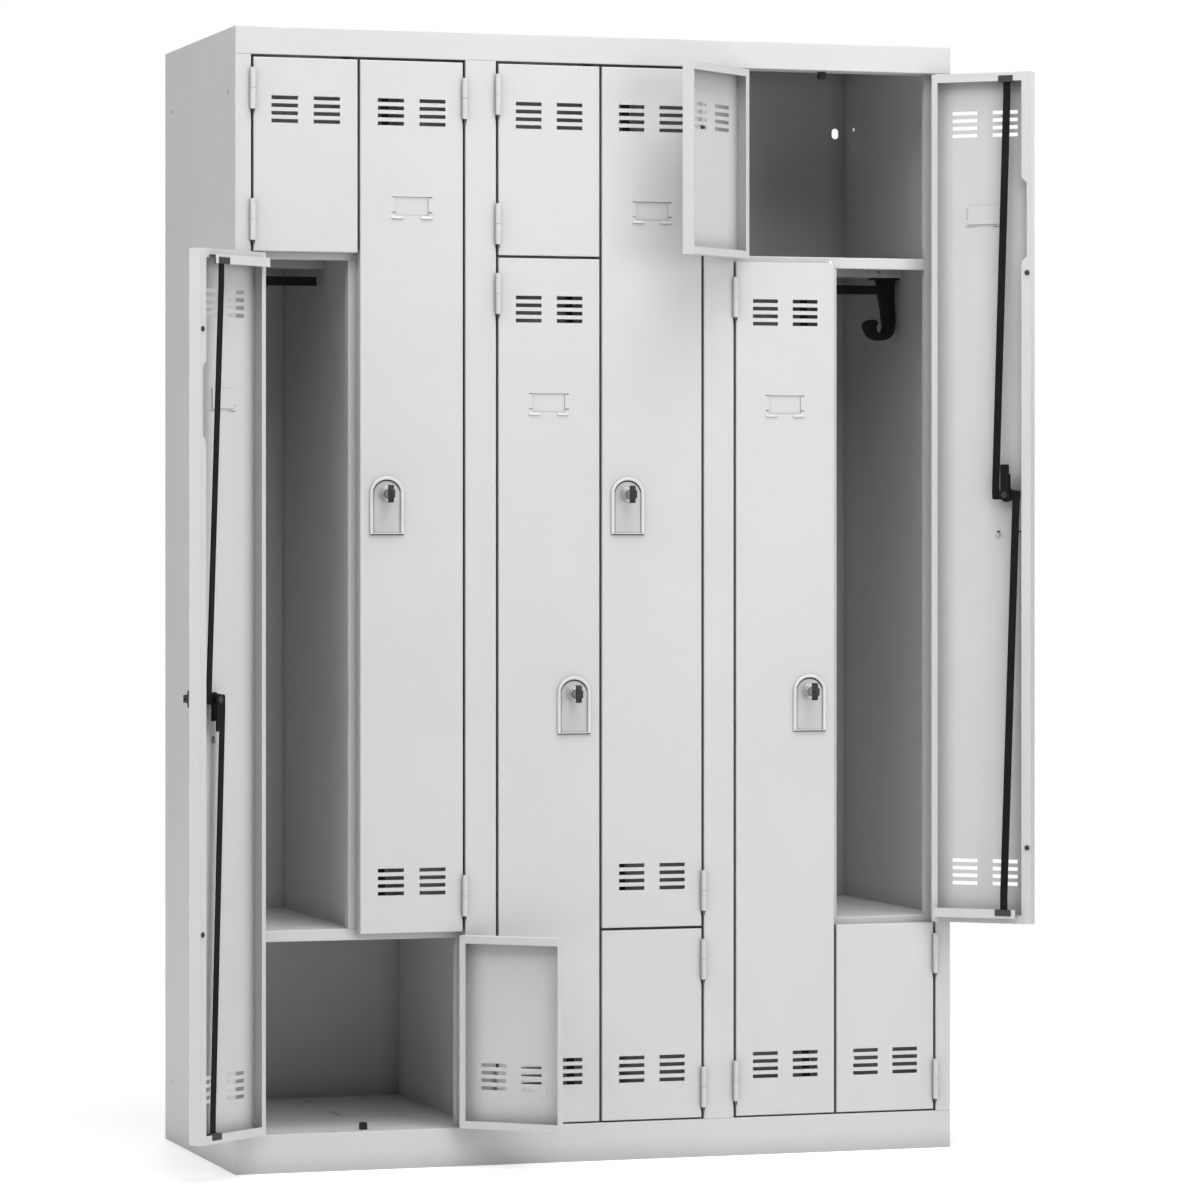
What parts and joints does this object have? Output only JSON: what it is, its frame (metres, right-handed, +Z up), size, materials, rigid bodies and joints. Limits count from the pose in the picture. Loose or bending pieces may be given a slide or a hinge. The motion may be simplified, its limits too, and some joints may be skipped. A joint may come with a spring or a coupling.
{
  "type": "z locker",
  "caption": "Bank of Z-shaped steel lockers with tall and small hinged doors, key locks that drive bolt rods, shelves, centre dividers and coat hooks.",
  "frame": {"origin": "middle of the base's footprint, on the floor", "axes": "+X to the right seen from the front, +Y from the front to the back, +Z up"},
  "size_m": [1.4014, 0.6336, 1.8],
  "materials": {
    "grey_powder_coat": "light grey powder coat, satin",
    "black_steel": "black coated steel, satin",
    "black_plastic": "black moulded plastic",
    "zinc_screw": "zinc plated"
  },
  "bodies": {
    "carcass": {"side_panel_left": "grey_powder_coat", "side_panel_right": "grey_powder_coat", "bay_partition_1": "grey_powder_coat", "bay_partition_2": "grey_powder_coat", "back_panel": "grey_powder_coat", "top_panel": "grey_powder_coat", "base_panel": "grey_powder_coat", "centre_dividers": "grey_powder_coat", "coat_hooks": "black_plastic", "door_stops": "black_plastic", "hinge_frame_halves": "grey_powder_coat", "shelf_screws": "zinc_screw", "upper_shelf_1": "grey_powder_coat", "upper_shelf_2": "grey_powder_coat", "upper_shelf_3": "grey_powder_coat", "lower_shelf_1": "grey_powder_coat", "lower_shelf_2": "grey_powder_coat", "lower_shelf_3": "grey_powder_coat"},
    "door_1_small_top": {"door_1_small_top": "grey_powder_coat"},
    "door_1_tall_right": {"door_1_tall_right": "grey_powder_coat", "lock_housing_1_right": "grey_powder_coat", "guides_buffers_1_right": "black_plastic"},
    "lock_1_right": {"lock_cam_key_1_right": "black_steel"},
    "rod_upper_1_right": {"bolt_rod_upper_1_right": "black_steel"},
    "rod_lower_1_right": {"bolt_rod_lower_1_right": "black_steel"},
    "door_1_tall_left": {"door_1_tall_left": "grey_powder_coat", "lock_housing_1_left": "grey_powder_coat", "guides_buffers_1_left": "black_plastic"},
    "lock_1_left": {"lock_cam_key_1_left": "black_steel"},
    "rod_upper_1_left": {"bolt_rod_upper_1_left": "black_steel"},
    "rod_lower_1_left": {"bolt_rod_lower_1_left": "black_steel"},
    "door_1_small_bottom": {"door_1_small_bottom": "grey_powder_coat"},
    "door_2_small_top": {"door_2_small_top": "grey_powder_coat"},
    "door_2_tall_right": {"door_2_tall_right": "grey_powder_coat", "lock_housing_2_right": "grey_powder_coat", "guides_buffers_2_right": "black_plastic"},
    "lock_2_right": {"lock_cam_key_2_right": "black_steel"},
    "rod_upper_2_right": {"bolt_rod_upper_2_right": "black_steel"},
    "rod_lower_2_right": {"bolt_rod_lower_2_right": "black_steel"},
    "door_2_tall_left": {"door_2_tall_left": "grey_powder_coat", "lock_housing_2_left": "grey_powder_coat", "guides_buffers_2_left": "black_plastic"},
    "lock_2_left": {"lock_cam_key_2_left": "black_steel"},
    "rod_upper_2_left": {"bolt_rod_upper_2_left": "black_steel"},
    "rod_lower_2_left": {"bolt_rod_lower_2_left": "black_steel"},
    "door_2_small_bottom": {"door_2_small_bottom": "grey_powder_coat"},
    "door_3_small_top": {"door_3_small_top": "grey_powder_coat"},
    "door_3_tall_right": {"door_3_tall_right": "grey_powder_coat", "lock_housing_3_right": "grey_powder_coat", "guides_buffers_3_right": "black_plastic"},
    "lock_3_right": {"lock_cam_key_3_right": "black_steel"},
    "rod_upper_3_right": {"bolt_rod_upper_3_right": "black_steel"},
    "rod_lower_3_right": {"bolt_rod_lower_3_right": "black_steel"},
    "door_3_tall_left": {"door_3_tall_left": "grey_powder_coat", "lock_housing_3_left": "grey_powder_coat", "guides_buffers_3_left": "black_plastic"},
    "lock_3_left": {"lock_cam_key_3_left": "black_steel"},
    "rod_upper_3_left": {"bolt_rod_upper_3_left": "black_steel"},
    "rod_lower_3_left": {"bolt_rod_lower_3_left": "black_steel"},
    "door_3_small_bottom": {"door_3_small_bottom": "grey_powder_coat"}
  },
  "joints": [
    {"name": "door_1_small_top_hinge", "type": "hinge", "parent": "carcass", "child": "door_1_small_top", "pos_m": [-0.5726, -0.2546, 1.59975], "axis": [0, 0, 1], "range_deg": [-140.5, 0]},
    {"name": "door_1_tall_right_hinge", "type": "hinge", "parent": "carcass", "child": "door_1_tall_right", "pos_m": [-0.2274, -0.2546, 1.06215], "axis": [0, 0, 1], "range_deg": [0, 140.5]},
    {"name": "lock_1_right_turn", "type": "hinge", "parent": "door_1_tall_right", "child": "lock_1_right", "pos_m": [-0.3549, -0.2334, 1.06705], "axis": [0, -1, 0], "range_deg": [0, 90]},
    {"name": "rod_upper_1_right_slide", "type": "slide", "parent": "door_1_tall_right", "child": "rod_upper_1_right", "axis": [0, 0, 1], "range_m": [0, 0.017]},
    {"name": "rod_lower_1_right_slide", "type": "slide", "parent": "door_1_tall_right", "child": "rod_lower_1_right", "axis": [0, 0, -1], "range_m": [0, 0.017]},
    {"name": "door_1_tall_left_hinge", "type": "hinge", "parent": "carcass", "child": "door_1_tall_left", "pos_m": [-0.5726, -0.2546, 0.75345], "axis": [0, 0, 1], "range_deg": [0, 140.5]},
    {"name": "lock_1_left_turn", "type": "hinge", "parent": "door_1_tall_left", "child": "lock_1_left", "pos_m": [-0.6575, -0.35206, 0.7485], "axis": [-0.6361, 0.7716, 0], "range_deg": [0, 90]},
    {"name": "rod_upper_1_left_slide", "type": "slide", "parent": "door_1_tall_left", "child": "rod_upper_1_left", "axis": [0, 0, 1], "range_m": [0, 0.017]},
    {"name": "rod_lower_1_left_slide", "type": "slide", "parent": "door_1_tall_left", "child": "rod_lower_1_left", "axis": [0, 0, -1], "range_m": [0, 0.017]},
    {"name": "door_1_small_bottom_hinge", "type": "hinge", "parent": "carcass", "child": "door_1_small_bottom", "pos_m": [-0.2274, -0.2546, 0.21585], "axis": [0, 0, 1], "range_deg": [-140.5, 0]},
    {"name": "door_2_small_top_hinge", "type": "hinge", "parent": "carcass", "child": "door_2_small_top", "pos_m": [-0.1726, -0.2546, 1.59975], "axis": [0, 0, 1], "range_deg": [-140.5, 0]},
    {"name": "door_2_tall_right_hinge", "type": "hinge", "parent": "carcass", "child": "door_2_tall_right", "pos_m": [0.1726, -0.2546, 1.06215], "axis": [0, 0, 1], "range_deg": [0, 55]},
    {"name": "lock_2_right_turn", "type": "hinge", "parent": "door_2_tall_right", "child": "lock_2_right", "pos_m": [0.0451, -0.2334, 1.06705], "axis": [0, -1, 0], "range_deg": [0, 90]},
    {"name": "rod_upper_2_right_slide", "type": "slide", "parent": "door_2_tall_right", "child": "rod_upper_2_right", "axis": [0, 0, 1], "range_m": [0, 0.017]},
    {"name": "rod_lower_2_right_slide", "type": "slide", "parent": "door_2_tall_right", "child": "rod_lower_2_right", "axis": [0, 0, -1], "range_m": [0, 0.017]},
    {"name": "door_2_tall_left_hinge", "type": "hinge", "parent": "carcass", "child": "door_2_tall_left", "pos_m": [-0.1726, -0.2546, 0.75345], "axis": [0, 0, 1], "range_deg": [-55, 0]},
    {"name": "lock_2_left_turn", "type": "hinge", "parent": "door_2_tall_left", "child": "lock_2_left", "pos_m": [-0.0451, -0.2334, 0.7485], "axis": [0, -1, 0], "range_deg": [0, 90]},
    {"name": "rod_upper_2_left_slide", "type": "slide", "parent": "door_2_tall_left", "child": "rod_upper_2_left", "axis": [0, 0, 1], "range_m": [0, 0.017]},
    {"name": "rod_lower_2_left_slide", "type": "slide", "parent": "door_2_tall_left", "child": "rod_lower_2_left", "axis": [0, 0, -1], "range_m": [0, 0.017]},
    {"name": "door_2_small_bottom_hinge", "type": "hinge", "parent": "carcass", "child": "door_2_small_bottom", "pos_m": [0.1726, -0.2546, 0.21585], "axis": [0, 0, 1], "range_deg": [0, 140.5]},
    {"name": "door_3_small_top_hinge", "type": "hinge", "parent": "carcass", "child": "door_3_small_top", "pos_m": [0.2274, -0.2546, 1.59975], "axis": [0, 0, 1], "range_deg": [0, 140.5]},
    {"name": "door_3_tall_right_hinge", "type": "hinge", "parent": "carcass", "child": "door_3_tall_right", "pos_m": [0.5726, -0.2546, 1.06215], "axis": [0, 0, 1], "range_deg": [-140.5, 0]},
    {"name": "lock_3_right_turn", "type": "hinge", "parent": "door_3_tall_right", "child": "lock_3_right", "pos_m": [0.6575, -0.35206, 1.06705], "axis": [0.6361, 0.7716, 0], "range_deg": [0, 90]},
    {"name": "rod_upper_3_right_slide", "type": "slide", "parent": "door_3_tall_right", "child": "rod_upper_3_right", "axis": [0, 0, 1], "range_m": [0, 0.017]},
    {"name": "rod_lower_3_right_slide", "type": "slide", "parent": "door_3_tall_right", "child": "rod_lower_3_right", "axis": [0, 0, -1], "range_m": [0, 0.017]},
    {"name": "door_3_tall_left_hinge", "type": "hinge", "parent": "carcass", "child": "door_3_tall_left", "pos_m": [0.2274, -0.2546, 0.75345], "axis": [0, 0, 1], "range_deg": [-140.5, 0]},
    {"name": "lock_3_left_turn", "type": "hinge", "parent": "door_3_tall_left", "child": "lock_3_left", "pos_m": [0.3549, -0.2334, 0.7485], "axis": [0, -1, 0], "range_deg": [0, 90]},
    {"name": "rod_upper_3_left_slide", "type": "slide", "parent": "door_3_tall_left", "child": "rod_upper_3_left", "axis": [0, 0, 1], "range_m": [0, 0.017]},
    {"name": "rod_lower_3_left_slide", "type": "slide", "parent": "door_3_tall_left", "child": "rod_lower_3_left", "axis": [0, 0, -1], "range_m": [0, 0.017]},
    {"name": "door_3_small_bottom_hinge", "type": "hinge", "parent": "carcass", "child": "door_3_small_bottom", "pos_m": [0.5726, -0.2546, 0.21585], "axis": [0, 0, 1], "range_deg": [0, 140.5]}
  ],
  "couplings": [
    {"joint": "rod_lower_1_right_slide", "follows": "rod_upper_1_right_slide", "ratio": 1},
    {"joint": "lock_1_right_turn", "follows": "rod_upper_1_right_slide", "rad_per_m": 92.35},
    {"joint": "rod_lower_1_left_slide", "follows": "rod_upper_1_left_slide", "ratio": 1},
    {"joint": "lock_1_left_turn", "follows": "rod_upper_1_left_slide", "rad_per_m": 92.35},
    {"joint": "rod_lower_2_right_slide", "follows": "rod_upper_2_right_slide", "ratio": 1},
    {"joint": "lock_2_right_turn", "follows": "rod_upper_2_right_slide", "rad_per_m": 92.35},
    {"joint": "rod_lower_2_left_slide", "follows": "rod_upper_2_left_slide", "ratio": 1},
    {"joint": "lock_2_left_turn", "follows": "rod_upper_2_left_slide", "rad_per_m": 92.35},
    {"joint": "rod_lower_3_right_slide", "follows": "rod_upper_3_right_slide", "ratio": 1},
    {"joint": "lock_3_right_turn", "follows": "rod_upper_3_right_slide", "rad_per_m": 92.35},
    {"joint": "rod_lower_3_left_slide", "follows": "rod_upper_3_left_slide", "ratio": 1},
    {"joint": "lock_3_left_turn", "follows": "rod_upper_3_left_slide", "rad_per_m": 92.35}
  ]
}
